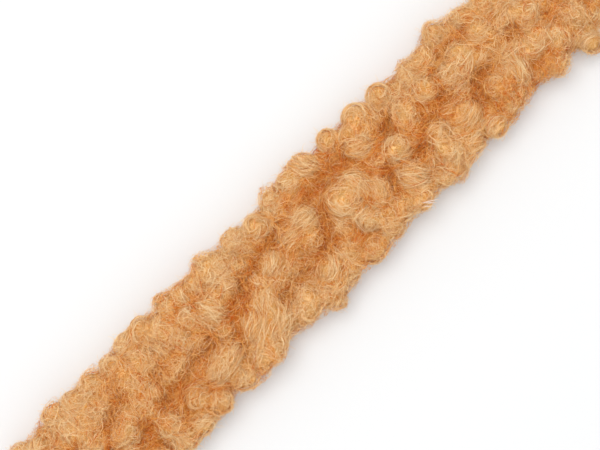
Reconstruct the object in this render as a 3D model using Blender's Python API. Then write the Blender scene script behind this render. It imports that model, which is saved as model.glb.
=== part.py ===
"""Faux fur trim: a cut length of curly pile on a knitted backing, lying straight on its back.

+X runs along the trim, +Y across it and +Z up from the surface it lies on. The origin is the
middle of the backing's underside. Sizes are in millimetres and are scaled once, by MM.

The pile is one lumpy solid: a long loaf, its core, pushed out along its own normals by the curls
that sit on it. Each curl is a ball of wound fibre, and the core's surface moves out to whichever
ball reaches furthest. The curls that stand out, and the partings between them, are placed by hand;
a seeded loop packs smaller curls around them, down the sides and over both cut ends.
"""

import math
import random

import bmesh
import bpy
import numpy as np

MM = 0.001

# The backing: a knitted strip, cut to width.
BACKING_LENGTH = 238.0
BACKING_WIDTH = 30.0
BACKING_THICKNESS = 1.2
BACKING_WANDER = 0.35  # how far its cut edges stray from straight
BACKING_STATIONS = 48
FIT_GAP = 0.3  # clearance between the backing and the pile that is set on it

# The core: the loaf that the curls stand on. Its rim laps over the backing's cut edges.
CORE_HALF_WIDTH = 17.2
CORE_CROWN = 11.5  # its highest point above the surface
CORE_FULLNESS = 2.4  # 2 is an ellipse; more has squarer shoulders
CORE_FOOT = 0.4  # the rim stays this far above the surface
RECESS_HALF_LENGTH = BACKING_LENGTH / 2 + FIT_GAP
RECESS_HALF_WIDTH = BACKING_WIDTH / 2 + BACKING_WANDER + FIT_GAP
END_LAP = 3.4  # how far the core laps past the recess at each end
END_FULLNESS = 3.0
END_SHARE = 0.12  # of the core's section that is left at its very end
RECESS_STEP = 0.05  # the length in which the recess ends
FOOT_REACH = 1.5  # the most that a curl pushes out the core's foot

# The arch that the curls' centres stand on, and how they are packed on it.
ARCH_HALF_WIDTH = 22.5
ARCH_FOOT = 3.2
ARCH_CROWN = 12.4
USUAL_RADIUS = 4.5
SINK_SHARE = 0.6  # of a curl's extra radius, so that a big curl sits deeper
FILL_SMALLEST, FILL_LARGEST = 2.7, 4.1
FILL_SINK = 0.9
FILL_ACROSS = 17.8  # they reach no further across than this, so that the rims keep their notches
FILL_SPACING = 0.74  # of two curls' radii together, the nearest that their centres come
FILL_TRIES = 9000
MOST_CURLS = 298
FILL_SEED = 41
SIDE_ANGLE = 84.0  # degrees from upright, how far down the sides the fill reaches
END_REACH = 1.5  # how far past the recess a curl's centre may lie

# The low curls: one row at the foot of each side, two rows on each cut end.
FOOT_PITCH = 6.1
FOOT_RADIUS = 2.9
FOOT_INSET = 2.6  # how far their centres lie inside the core's side
FOOT_SEED = 7
FOOT_MARGIN = 2.5  # the length at each end that the end rows cover instead
END_ROWS = (3.7, 8.4)  # heights of the curls' centres on a cut end
END_ROW_HALF = 12.6
END_ROW_COUNT = 5
END_RADIUS = 3.7
PLACE_STRAY = 1.1  # how far a low curl strays along its row
DEPTH_STRAY = 0.4  # how far it strays in or out, and how much its radius varies

# Partings in the pile: the core dips this far along them, and no fill curl stands there.
PARTING_DEPTH = 3.0

# Mesh density
STATIONS = 137
END_STATIONS = 8
RIM_TO_RIM = 32
UNDERSIDE = (-1.0, -0.5, 0.0, 0.5, 1.0)  # shares of the recess's half width
UNDERSIDE_INSET = 0.9  # where the recess is wider than the pile's end

# The curls that stand out along both rims: along, across, radius
RIM_CURLS = (
    (-114.0, 16.2, 4.4), (-107.5, 13.5, 3.6), (-98.5, 17.4, 4.2), (-91.0, 15.6, 4.8),
    (-83.5, 16.0, 4.4), (-74.0, 15.7, 4.2), (-65.5, 17.2, 4.4), (-59.0, 17.0, 4.3),
    (-48.0, 16.9, 4.4), (-42.5, 15.6, 4.0), (-36.5, 15.3, 4.4), (-30.0, 20.0, 2.5),
    (-29.0, 14.3, 5.8), (-18.0, 16.6, 4.6), (-10.5, 14.2, 4.6), (-2.0, 16.8, 4.2),
    (7.3, 17.0, 4.6), (14.2, 17.3, 5.0), (25.3, 18.2, 4.2), (31.0, 15.2, 3.6),
    (36.8, 17.2, 4.8), (46.0, 16.7, 4.2), (57.0, 13.6, 4.2), (64.0, 14.3, 4.6),
    (72.8, 17.6, 4.2), (82.0, 15.2, 4.2), (89.5, 13.4, 4.7), (99.0, 15.0, 4.4),
    (-73.0, -16.6, 5.2), (-66.0, -17.0, 4.6), (-57.0, -16.0, 4.5), (-47.0, -16.2, 4.5),
    (-37.5, -15.6, 5.2), (-31.0, -15.2, 4.8), (-18.0, -15.6, 4.2), (-7.6, -17.6, 5.2),
    (0.5, -15.8, 4.4), (11.0, -16.8, 4.7), (20.0, -15.8, 4.4), (33.0, -15.4, 4.4),
    (43.0, -16.2, 4.4), (50.5, -16.2, 4.4), (57.5, -15.6, 4.2), (66.0, -16.4, 4.5),
    (75.0, -14.4, 4.6), (94.0, -15.4, 4.8), (106.4, -18.6, 4.4), (-85.0, -16.0, 4.6),
    (-98.0, -16.8, 4.8), (115.0, 15.2, 4.6),
)

# The curls that stand out over the crown: along, across, radius
CROWN_CURLS = (
    (-96.0, 10.0, 5.8), (-95.5, 3.0, 5.4), (-86.0, -2.6, 5.2), (-73.0, 8.6, 5.4),
    (-66.0, 9.8, 5.4), (-74.0, -9.6, 4.8), (-61.0, -10.5, 4.6), (-54.0, 12.4, 5.0),
    (-52.5, 6.6, 4.8), (-46.0, 9.0, 4.6), (-39.0, 5.4, 5.8), (-30.6, 8.0, 4.4),
    (-50.0, -9.8, 4.8), (-44.5, -8.0, 5.0), (-31.5, -8.2, 6.8), (-25.0, -4.6, 5.8),
    (-25.0, -12.2, 5.0), (-15.0, 2.6, 4.8), (-5.2, 5.0, 5.0), (1.6, 5.2, 5.4),
    (-14.5, -12.4, 4.6), (-2.5, -11.6, 4.6), (4.5, -12.0, 4.8), (15.0, 0.8, 6.2),
    (21.0, 2.0, 5.4), (26.0, -4.2, 4.6), (17.4, -8.6, 5.2), (30.6, 9.4, 5.0),
    (38.6, 0.5, 4.9), (36.2, -9.4, 6.0), (48.2, 5.4, 4.9), (50.8, -4.8, 5.2),
    (48.8, -11.4, 4.4), (26.0, -12.6, 4.8), (58.2, 7.4, 4.8), (66.6, 5.4, 4.7),
    (73.4, 6.2, 5.8), (62.6, -7.8, 4.8), (76.4, -9.4, 6.4), (82.0, -8.8, 5.6),
    (82.6, 8.6, 4.8), (92.4, -7.0, 5.2), (97.6, 1.6, 5.4), (98.6, -9.0, 5.2),
    (107.5, -8.0, 5.2), (106.0, 5.6, 5.0), (-107.0, -6.0, 5.6), (-108.5, 4.6, 5.2),
)

# The partings: from along and across, to along and across, half width
PARTINGS = (
    (-82.0, -11.0, -77.0, -7.0, 3.6),
    (-92.0, -1.0, -77.0, 8.0, 2.8),
    (-70.0, -4.0, -46.0, -2.0, 4.2),
    (-66.0, 3.0, -56.0, 4.5, 2.6),
    (-40.0, -13.0, -36.5, -3.0, 2.6),
    (-36.0, 0.0, -19.0, 6.5, 2.8),
    (-19.0, 7.0, -4.0, 9.0, 2.4),
    (-19.0, -7.0, 4.0, -5.5, 3.4),
    (4.0, -4.0, 9.5, 4.0, 2.6),
    (9.0, 9.0, 25.0, 9.5, 2.8),
    (29.0, -8.0, 32.0, -1.0, 2.2),
    (39.0, 8.0, 43.0, 9.0, 2.6),
    (41.0, -7.0, 55.0, 0.5, 2.4),
    (59.0, 1.0, 63.5, 9.0, 2.4),
    (68.0, -8.0, 72.0, -2.0, 3.0),
    (74.0, -2.0, 92.0, 1.0, 2.6),
)


def arch_height(across):
    """How high the curls' centres stand at this distance across the trim."""
    share = min(1.0, abs(across) / ARCH_HALF_WIDTH)
    return ARCH_FOOT + (ARCH_CROWN - ARCH_FOOT) * math.sqrt(1.0 - share * share)


def distance_to_parting(along, across, parting):
    """The plan distance from a point, or an array of points, to a parting's middle line."""
    start = np.array(parting[0:2])
    run = np.array(parting[2:4]) - start
    offset = np.stack([along, across], axis=-1) - start
    share = np.clip(offset @ run / (run @ run), 0.0, 1.0)
    return np.linalg.norm(offset - share[..., None] * run, axis=-1)


def in_parting(along, across):
    """True where a parting runs."""
    return any(distance_to_parting(along, across, row) < row[4] for row in PARTINGS)


def placed_curls():
    """The curls placed by hand, as (x, y, z, radius)."""
    curls = []
    for along, across, radius in RIM_CURLS + CROWN_CURLS:
        sink = SINK_SHARE * (radius - USUAL_RADIUS)
        curls.append((along, across, arch_height(across) - sink, radius))
    return curls


def low_curls():
    """The curls along the foot of both sides and on both cut ends."""
    draw = random.Random(FOOT_SEED)
    curls = []
    for side in (-1, 1):
        half_row = RECESS_HALF_LENGTH - FOOT_MARGIN
        for along in np.arange(-half_row, half_row, FOOT_PITCH):
            x = along + draw.uniform(-PLACE_STRAY, PLACE_STRAY)
            y = side * (CORE_HALF_WIDTH - FOOT_INSET) + draw.uniform(-DEPTH_STRAY, DEPTH_STRAY)
            radius = FOOT_RADIUS + draw.uniform(-DEPTH_STRAY, DEPTH_STRAY)
            curls.append((x, y, radius + CORE_FOOT, radius))
        for z in END_ROWS:
            for across in np.linspace(-END_ROW_HALF, END_ROW_HALF, END_ROW_COUNT):
                x = side * (RECESS_HALF_LENGTH + END_REACH) + draw.uniform(-DEPTH_STRAY, DEPTH_STRAY)
                y = across + draw.uniform(-PLACE_STRAY, PLACE_STRAY)
                radius = END_RADIUS + draw.uniform(-DEPTH_STRAY, DEPTH_STRAY)
                curls.append((x, y, z, radius))
    return curls


def fill_curls(curls):
    """Packs smaller curls between the others, over the arch, down its sides and round its ends."""
    draw = random.Random(FILL_SEED)
    reach = RECESS_HALF_LENGTH + END_REACH
    packed = list(curls)
    for _ in range(FILL_TRIES):
        if len(packed) >= MOST_CURLS:
            break
        radius = draw.uniform(FILL_SMALLEST, FILL_LARGEST)
        along = draw.uniform(-reach, reach)
        lean = math.radians(draw.uniform(-SIDE_ANGLE, SIDE_ANGLE))
        limit = FILL_ACROSS - radius
        across = max(-limit, min(limit, (CORE_HALF_WIDTH - FILL_SINK) * math.sin(lean)))
        height = ARCH_FOOT + (ARCH_CROWN - ARCH_FOOT - FILL_SINK) * math.cos(lean)
        height = max(height, radius + CORE_FOOT)
        if in_parting(along, across):
            continue
        centre = (along, across, height)
        nearest = min(math.dist(centre, c[:3]) / (radius + c[3]) for c in packed)
        if nearest >= FILL_SPACING:
            packed.append((*centre, radius))
    return packed


def even_superellipse(half_width, height, fullness, last_angle, count):
    """Evenly spaced points on a superellipse, from (-half_width, 0) round to last_angle."""
    angle = np.linspace(0.0, last_angle, 721)
    power = 2.0 / fullness
    across = -half_width * np.sign(np.cos(angle)) * np.abs(np.cos(angle)) ** power
    up = height * np.abs(np.sin(angle)) ** power
    run = np.concatenate([[0.0], np.cumsum(np.hypot(np.diff(across), np.diff(up)))])
    even = np.linspace(0.0, run[-1], count)
    return np.interp(even, run, across), np.interp(even, run, up)


def core_stations():
    """Where the core's stations lie along it, and the share of its section at each."""
    middle = np.linspace(-RECESS_HALF_LENGTH, RECESS_HALF_LENGTH, STATIONS)
    last_angle = math.acos(END_SHARE ** (END_FULLNESS / 2))
    inward, outward = even_superellipse(CORE_HALF_WIDTH, END_LAP, END_FULLNESS, last_angle, END_STATIONS)
    end = RECESS_HALF_LENGTH + RECESS_STEP + outward
    end_share = -inward / CORE_HALF_WIDTH
    along = np.concatenate([-end[::-1], middle, end])
    share = np.concatenate([end_share[::-1], np.ones(STATIONS), end_share])
    return along, share


def core_grid(stations, shares):
    """The core's surface above its rim, as points [station, place in section, xyz]."""
    across, up = even_superellipse(
        CORE_HALF_WIDTH, CORE_CROWN - CORE_FOOT, CORE_FULLNESS, math.pi, RIM_TO_RIM
    )
    grid = np.empty((len(stations), len(across), 3))
    grid[:, :, 0] = stations[:, None]
    grid[:, :, 1] = across * shares[:, None]
    grid[:, :, 2] = CORE_FOOT + up * shares[:, None]
    return grid


def grid_normals(grid):
    """The outward normal at each point of the core's grid."""
    normals = np.cross(np.gradient(grid, axis=0), np.gradient(grid, axis=1))
    return normals / np.linalg.norm(normals, axis=2, keepdims=True)


def curl_reach(points, normals, curls):
    """How far along each normal the furthest curl reaches, or minus infinity if none does."""
    reach = np.full(points.shape[:-1], -np.inf)
    for x, y, z, radius in curls:
        offset = np.array((x, y, z)) - points
        ahead = (offset * normals).sum(axis=-1)
        beside = (offset * offset).sum(axis=-1) - ahead**2
        hit = ahead + np.sqrt(np.maximum(radius**2 - beside, 0.0))
        reach = np.where(beside < radius**2, np.maximum(reach, hit), reach)
    return reach


def parting_dip(points):
    """How far the core sinks at each point because of the partings."""
    dip = np.zeros(points.shape[:-1])
    for row in PARTINGS:
        away = distance_to_parting(points[..., 0], points[..., 1], row) / (row[4] * 1.3)
        dip = np.maximum(dip, PARTING_DEPTH * np.clip(1.0 - away**2, 0.0, 1.0))
    return dip


def pile_grid(curls):
    """The pile's outer surface: the core pushed out to its curls and down at its partings."""
    grid = core_grid(*core_stations())
    normals = grid_normals(grid)
    move = np.maximum(curl_reach(grid, normals, curls), -parting_dip(grid))
    move[:, (0, -1)] = np.clip(move[:, (0, -1)], 0.0, FOOT_REACH)
    grid = grid + normals * move[..., None]
    grid[..., 2] = np.maximum(grid[..., 2], CORE_FOOT)
    grid[:, (0, -1), 2] = CORE_FOOT
    return grid


def underside_row(along, rim):
    """The points below one station: the rim's foot, then the recess that the backing fits."""
    over_backing = abs(along) <= RECESS_HALF_LENGTH
    roof = BACKING_THICKNESS + FIT_GAP if over_backing else CORE_FOOT
    half = min(RECESS_HALF_WIDTH, UNDERSIDE_INSET * rim)
    row = [(along, -half, CORE_FOOT)]
    row += [(along, share * half, roof) for share in UNDERSIDE]
    row.append((along, half, CORE_FOOT))
    return row


def material(name, colour, roughness):
    """A cloth material with one colour and roughness."""
    made = bpy.data.materials.new(name)
    made.use_nodes = True
    shader = made.node_tree.nodes["Principled BSDF"]
    shader.inputs["Base Color"].default_value = (*colour, 1.0)
    shader.inputs["Roughness"].default_value = roughness
    shader.inputs["Metallic"].default_value = 0.0
    return made


def solid_from_rings(name, rings, ends, surface):
    """An object whose closed rings of points are skinned in turn, and fanned to a point at each end."""
    mesh = bmesh.new()
    loops = [[mesh.verts.new(np.array(point) * MM) for point in ring] for ring in rings]
    for first, second in zip(loops, loops[1:]):
        for k in range(len(first)):
            after = (k + 1) % len(first)
            mesh.faces.new((first[k], first[after], second[after], second[k]))
    for loop, end in zip((loops[0], loops[-1]), ends):
        tip = mesh.verts.new(np.array(end) * MM)
        for k in range(len(loop)):
            mesh.faces.new((loop[k], loop[(k + 1) % len(loop)], tip))
    bmesh.ops.recalc_face_normals(mesh, faces=mesh.faces)
    data = bpy.data.meshes.new(name)
    mesh.to_mesh(data)
    mesh.free()
    data.shade_smooth()
    data.materials.append(surface)
    made = bpy.data.objects.new(name, data)
    bpy.context.scene.collection.objects.link(made)
    return made


def end_point(side, curls):
    """The middle of the pile's cut end, pushed out to its curls."""
    reach = RECESS_HALF_LENGTH + RECESS_STEP + END_LAP
    height = CORE_FOOT + (CORE_CROWN - CORE_FOOT) * END_SHARE / 2
    foot = np.array([side * reach, 0.0, height])
    outward = np.array([float(side), 0.0, 0.0])
    return foot + outward * max(0.0, float(curl_reach(foot, outward, curls)))


def make_pile():
    """The curly pile, one closed solid with a recess below for the backing."""
    curls = fill_curls(placed_curls() + low_curls())
    stations, shares = core_stations()
    rings = []
    for section, station, share in zip(pile_grid(curls), stations, shares):
        below = underside_row(station, CORE_HALF_WIDTH * share)
        rings.append([tuple(point) for point in section] + below[::-1])
    ends = (end_point(-1, curls), end_point(1, curls))
    return solid_from_rings("pile", rings, ends, material("curly pile", (0.72, 0.42, 0.19), 0.9))


def make_backing():
    """The knitted backing, a thin strip whose cut edges wander a little."""
    rings = []
    for along in np.linspace(-BACKING_LENGTH / 2, BACKING_LENGTH / 2, BACKING_STATIONS + 1):
        left = -BACKING_WIDTH / 2 - BACKING_WANDER * math.sin(along * 0.11)
        right = BACKING_WIDTH / 2 + BACKING_WANDER * math.sin(along * 0.083 + 1.0)
        rings.append([
            (along, left, 0.0),
            (along, right, 0.0),
            (along, right, BACKING_THICKNESS),
            (along, left, BACKING_THICKNESS),
        ])
    ends = [(side * BACKING_LENGTH / 2, 0.0, BACKING_THICKNESS / 2) for side in (-1, 1)]
    return solid_from_rings("backing", rings, ends, material("knitted backing", (0.78, 0.62, 0.43), 0.95))


def main():
    for old in list(bpy.data.objects):
        bpy.data.objects.remove(old, do_unlink=True)
    make_backing()
    make_pile()


main()
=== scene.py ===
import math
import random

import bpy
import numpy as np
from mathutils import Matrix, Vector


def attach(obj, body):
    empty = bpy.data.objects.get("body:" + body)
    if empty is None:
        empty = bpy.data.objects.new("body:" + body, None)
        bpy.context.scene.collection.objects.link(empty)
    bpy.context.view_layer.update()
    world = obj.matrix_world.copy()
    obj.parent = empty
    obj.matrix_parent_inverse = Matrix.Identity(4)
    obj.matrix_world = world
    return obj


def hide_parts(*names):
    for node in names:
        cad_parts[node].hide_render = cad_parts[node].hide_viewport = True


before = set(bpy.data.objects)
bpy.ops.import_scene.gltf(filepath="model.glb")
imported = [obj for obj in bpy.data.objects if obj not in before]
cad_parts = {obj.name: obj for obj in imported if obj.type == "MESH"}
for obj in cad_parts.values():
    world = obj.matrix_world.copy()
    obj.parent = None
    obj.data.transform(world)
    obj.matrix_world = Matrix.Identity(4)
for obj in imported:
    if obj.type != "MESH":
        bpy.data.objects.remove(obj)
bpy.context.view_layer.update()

# Faux fur trim: the looks of a cut length of curly pile on a knitted backing.
#
# Lengths are in millimetres and are scaled once, by MM. +X runs along the trim, +Y across it and
# +Z up. The pile's curls are balls of wound fibre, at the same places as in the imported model. A
# ground surface follows them, and locks of fine fibres are wound over it, ball by ball.

MM = 0.001

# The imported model's sizes, then how finely the backing is meshed here
BACKING_LENGTH = 238.0
BACKING_WIDTH = 30.0
BACKING_THICKNESS = 1.2
BACKING_WANDER = 0.35
FIT_GAP = 0.3
CORE_HALF_WIDTH = 17.2
CORE_CROWN = 11.5
CORE_FULLNESS = 2.4
CORE_FOOT = 0.4
RECESS_HALF_LENGTH = BACKING_LENGTH / 2 + FIT_GAP
RECESS_HALF_WIDTH = BACKING_WIDTH / 2 + BACKING_WANDER + FIT_GAP
END_LAP = 3.4
END_FULLNESS = 3.0
END_SHARE = 0.12
RECESS_STEP = 0.05
FOOT_REACH = 1.5
ARCH_HALF_WIDTH = 22.5
ARCH_FOOT = 3.2
ARCH_CROWN = 12.4
USUAL_RADIUS = 4.5
SINK_SHARE = 0.6
FILL_SMALLEST, FILL_LARGEST = 2.7, 4.1
FILL_SINK = 0.9
FILL_ACROSS = 17.8
FILL_SPACING = 0.74
FILL_TRIES = 9000
MOST_CURLS = 298
FILL_SEED = 41
SIDE_ANGLE = 84.0
END_REACH = 1.5
FOOT_PITCH = 6.1
FOOT_RADIUS = 2.9
FOOT_INSET = 2.6
FOOT_SEED = 7
FOOT_MARGIN = 2.5
END_ROWS = (3.7, 8.4)
END_ROW_HALF = 12.6
END_ROW_COUNT = 5
END_RADIUS = 3.7
PLACE_STRAY = 1.1
DEPTH_STRAY = 0.4
PARTING_DEPTH = 3.0
PARTING_REACH = 1.3  # how far a parting's dip reaches, in half widths
BACKING_STATIONS = 161
BACKING_PLACES = 13
LEFT_WANDER_RATE = 0.11
RIGHT_WANDER_RATE, RIGHT_WANDER_START = 0.083, 1.0

# The curls that stand out along both rims: along, across, radius
RIM_CURLS = (
    (-114.0, 16.2, 4.4), (-107.5, 13.5, 3.6), (-98.5, 17.4, 4.2), (-91.0, 15.6, 4.8),
    (-83.5, 16.0, 4.4), (-74.0, 15.7, 4.2), (-65.5, 17.2, 4.4), (-59.0, 17.0, 4.3),
    (-48.0, 16.9, 4.4), (-42.5, 15.6, 4.0), (-36.5, 15.3, 4.4), (-30.0, 20.0, 2.5),
    (-29.0, 14.3, 5.8), (-18.0, 16.6, 4.6), (-10.5, 14.2, 4.6), (-2.0, 16.8, 4.2),
    (7.3, 17.0, 4.6), (14.2, 17.3, 5.0), (25.3, 18.2, 4.2), (31.0, 15.2, 3.6),
    (36.8, 17.2, 4.8), (46.0, 16.7, 4.2), (57.0, 13.6, 4.2), (64.0, 14.3, 4.6),
    (72.8, 17.6, 4.2), (82.0, 15.2, 4.2), (89.5, 13.4, 4.7), (99.0, 15.0, 4.4),
    (-73.0, -16.6, 5.2), (-66.0, -17.0, 4.6), (-57.0, -16.0, 4.5), (-47.0, -16.2, 4.5),
    (-37.5, -15.6, 5.2), (-31.0, -15.2, 4.8), (-18.0, -15.6, 4.2), (-7.6, -17.6, 5.2),
    (0.5, -15.8, 4.4), (11.0, -16.8, 4.7), (20.0, -15.8, 4.4), (33.0, -15.4, 4.4),
    (43.0, -16.2, 4.4), (50.5, -16.2, 4.4), (57.5, -15.6, 4.2), (66.0, -16.4, 4.5),
    (75.0, -14.4, 4.6), (94.0, -15.4, 4.8), (106.4, -18.6, 4.4), (-85.0, -16.0, 4.6),
    (-98.0, -16.8, 4.8), (115.0, 15.2, 4.6),
)

# The curls that stand out over the crown: along, across, radius
CROWN_CURLS = (
    (-96.0, 10.0, 5.8), (-95.5, 3.0, 5.4), (-86.0, -2.6, 5.2), (-73.0, 8.6, 5.4),
    (-66.0, 9.8, 5.4), (-74.0, -9.6, 4.8), (-61.0, -10.5, 4.6), (-54.0, 12.4, 5.0),
    (-52.5, 6.6, 4.8), (-46.0, 9.0, 4.6), (-39.0, 5.4, 5.8), (-30.6, 8.0, 4.4),
    (-50.0, -9.8, 4.8), (-44.5, -8.0, 5.0), (-31.5, -8.2, 6.8), (-25.0, -4.6, 5.8),
    (-25.0, -12.2, 5.0), (-15.0, 2.6, 4.8), (-5.2, 5.0, 5.0), (1.6, 5.2, 5.4),
    (-14.5, -12.4, 4.6), (-2.5, -11.6, 4.6), (4.5, -12.0, 4.8), (15.0, 0.8, 6.2),
    (21.0, 2.0, 5.4), (26.0, -4.2, 4.6), (17.4, -8.6, 5.2), (30.6, 9.4, 5.0),
    (38.6, 0.5, 4.9), (36.2, -9.4, 6.0), (48.2, 5.4, 4.9), (50.8, -4.8, 5.2),
    (48.8, -11.4, 4.4), (26.0, -12.6, 4.8), (58.2, 7.4, 4.8), (66.6, 5.4, 4.7),
    (73.4, 6.2, 5.8), (62.6, -7.8, 4.8), (76.4, -9.4, 6.4), (82.0, -8.8, 5.6),
    (82.6, 8.6, 4.8), (92.4, -7.0, 5.2), (97.6, 1.6, 5.4), (98.6, -9.0, 5.2),
    (107.5, -8.0, 5.2), (106.0, 5.6, 5.0), (-107.0, -6.0, 5.6), (-108.5, 4.6, 5.2),
)

# The partings: from along and across, to along and across, half width
PARTINGS = (
    (-82.0, -11.0, -77.0, -7.0, 3.6),
    (-92.0, -1.0, -77.0, 8.0, 2.8),
    (-70.0, -4.0, -46.0, -2.0, 4.2),
    (-66.0, 3.0, -56.0, 4.5, 2.6),
    (-40.0, -13.0, -36.5, -3.0, 2.6),
    (-36.0, 0.0, -19.0, 6.5, 2.8),
    (-19.0, 7.0, -4.0, 9.0, 2.4),
    (-19.0, -7.0, 4.0, -5.5, 3.4),
    (4.0, -4.0, 9.5, 4.0, 2.6),
    (9.0, 9.0, 25.0, 9.5, 2.8),
    (29.0, -8.0, 32.0, -1.0, 2.2),
    (39.0, 8.0, 43.0, 9.0, 2.6),
    (41.0, -7.0, 55.0, 0.5, 2.4),
    (59.0, 1.0, 63.5, 9.0, 2.4),
    (68.0, -8.0, 72.0, -2.0, 3.0),
    (74.0, -2.0, 92.0, 1.0, 2.6),
)

# How some curls are wound: along, across, then the axis's lean from upright and the direction
# that it leans in, both in degrees. The others are wound at random.
WINDINGS = (
    (38.6, 0.5, 4.0, 0.0),
    (-31.5, -8.2, 88.0, 130.0),
    (-25.0, -4.6, 88.0, 140.0),
    (-25.0, -12.2, 80.0, 110.0),
    (-5.2, 5.0, 85.0, 95.0),
    (1.6, 5.2, 80.0, 80.0),
    (15.0, 0.8, 20.0, 60.0),
    (36.2, -9.4, 70.0, 40.0),
    (30.6, 9.4, 75.0, 60.0),
    (-15.0, 2.6, 80.0, 120.0),
    (-39.0, 5.4, 75.0, 20.0),
    (-44.5, -8.0, 85.0, 100.0),
    (-50.0, -9.8, 85.0, 100.0),
    (25.3, 18.2, 10.0, 90.0),
    (58.2, 7.4, 15.0, 0.0),
    (-10.5, 14.2, 12.0, 90.0),
)
UPRIGHT_SHARE = 0.4  # of the others: their axis stands nearly straight out of the pile
UPRIGHT_LEAN = 28.0
FLAT_LEAN, FLAT_LEAN_RANGE = 55.0, 35.0
SPIRAL = 0.7  # how strongly the others' windings run towards the poles
OUTWARD_HEIGHT = 3.0  # straight out of the pile is away from its middle line at this height

# The ground surface below the fibres
GROUND_STATIONS = 320
GROUND_END_STATIONS = 14
GROUND_RIM_TO_RIM = 68
GROUND_SINK = 0.4  # below the surface that the fibres lie on
GROUND_EASING = 4  # rounds of smoothing, so that it has no folds in the deep seams
GROUND_KEEP, GROUND_BESIDE = 0.4, 0.15  # a point's own share, and each neighbour's
GROUND_TONES = ((0.05, 0.5), (0.2, 0.6), (0.35, 0.75), (0.5, 0.9))  # the painted shade of the gaps, then the fibres' tone; darker pairs where the fibres have more painted shade
GROUND_SWIRLS = ((230.0, 110.0), (410.0, 75.0))  # the noise's scale, and the radians across its range
GROUND_DISTORTION = 0.6
GROUND_SHADED_GAPS = 0.1  # below this value the tangle has the painted shade of its gaps
GROUND_RELIEF = 0.0002
UNDERSIDE = (-1.0, -0.5, 0.0, 0.5, 1.0)
UNDERSIDE_INSET = 0.9

# The surface that the fibres lie on
SEAM_REACH = 3.1  # curls this near to each other are joined by a soft seam
SEAM_LIMIT = 2.2
SEAM_FILL = 0.25  # how high a seam is filled, as a share of its reach
BULKY = 4.0  # smaller curls than this have shorter seams
PARTING_SHARE = 0.65  # of the partings' depth in the solid: the fibres fill the rest
CORE_FILL = 1.3  # how far above the core the gaps between the curls are filled
GUIDE_DEPTH = 0.7  # below the curls' outside, so that the fibres' tops come level with it
NEAREST = 10  # curls that shape the surface at a point
SLAB = 8.0  # the points are taken in slabs, each with the curls near it
SLAB_REACH = 10.0
UNEVENNESS = 0.3  # how far the curls stray from round
UNEVEN_WAVES = 14
UNEVEN_SHORTEST, UNEVEN_LONGEST = 5.5, 13.0
BLEND_WAVES = 10  # of the seams' colour, from place to place
BLEND_SHORTEST, BLEND_LONGEST = 14.0, 30.0
UNEVEN_SEED = 3
SETTLING_ROUNDS = 4  # in which the grid's points come to lie on the surface
SETTLING_SHARE, SETTLING_MOST = 0.8, 1.0  # of what is left, and in millimetres
MOST_ROWS = 1000  # rows of random values, more than there are curls and tufts
LOWEST = 0.25  # no fibre comes nearer than this to the surface the trim lies on

# The tufts: small curls that stand on the wild ones
TUFTS = 360
TUFT_SMALLEST, TUFT_LARGEST = 1.4, 2.6
TUFT_SINK = 0.5  # how much of the radius the centre lies below the surface
TUFT_SPACING = 2.6
TUFT_HALF_LENGTH = 116.0  # the cut ends have none
TUFT_TRIES = 4000
TUFT_SEED = 17

# The locks: guides traced over the curls, each with a few fibres around it
LOCKS = 7200
FIBRES_IN_LOCK = 5
LOCK_STEPS = 10
STEP_SHORTEST, STEP_LONGEST = 0.42, 0.85
CALM_STEP = 0.3  # how much longer the steps are on a calm curl
CALM_SHARE = 0.4
CALM_WOBBLE, WILD_WOBBLE = 0.5, 1.4
CALM_FRIZZ, WILD_FRIZZ = 0.16, 0.42
FIRST_KEEP = 0.1  # how much of its heading a guide keeps at its first step, and at the later ones
INERTIA = 0.7
LOOSE_SHARE = 0.45  # the share of a wild curl's guides that follow no winding
LOOSE_KEEP = 0.95
LOOSE_LESS = 0.8  # how many fewer guides are loose on a calm curl
TURN_KEEP, TURN_NEW, TURN_RATE = 0.7, 0.6, 0.25  # how a guide wobbles from step to step
REACH_LEAST, REACH_MOST = 2.4, 4.0  # the seam reach of each guide
LOCK_RADIUS = 0.85
LOCK_TWIST = 1.2
LOCK_ROOT, LOCK_FLARE = 0.55, 0.9  # the fibres' spread at the root, and what is added after it
LOCK_FLATNESS = 0.45
LOCK_SINK = 0.2
LOCK_ARCH, LOCK_ARCH_POWER = (0.1, 0.8), 0.7
LOCK_WAVES, LOCK_LIFT_WAVES = (0.8, 2.6), (0.8, 2.2)
FRIZZ_RANGE = (0.3, 1.6)
FRIZZ_LIFT = 0.6  # the share of the frizz that goes up and down
LOCK_LEAN, LOCK_LEAN_DRIFT = 1.1, 0.7
LOCK_TIP_WIDTH = 0.35  # of the width in the middle
LOCK_TAPER_START, LOCK_TAPER_RUN = 0.03, 0.94
LOCK_STOUT_POWER = 4  # the higher, the fewer stout fibres
LOCK_THIN, LOCK_STOUTER = 0.75, 1.0
FIBRE_WIDTH = 0.1
LOW_SHARE = 0.55  # how densely the sides' feet are covered
LOW_HEIGHT = 4.5
LOCK_SEED = 11
LOCK_TONE_SPREAD = 0.14
OUTER_GAIN, OUTER_SHADE = 2.5, 0.52  # painted shade: the fibres on a lock's outside are paler, and those on its inside darker
CONTRAST, STOUT_CONTRAST = 0.36, 0.2  # from fibre to fibre, and more for the stout ones
LOCK_PIECES = 5

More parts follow.
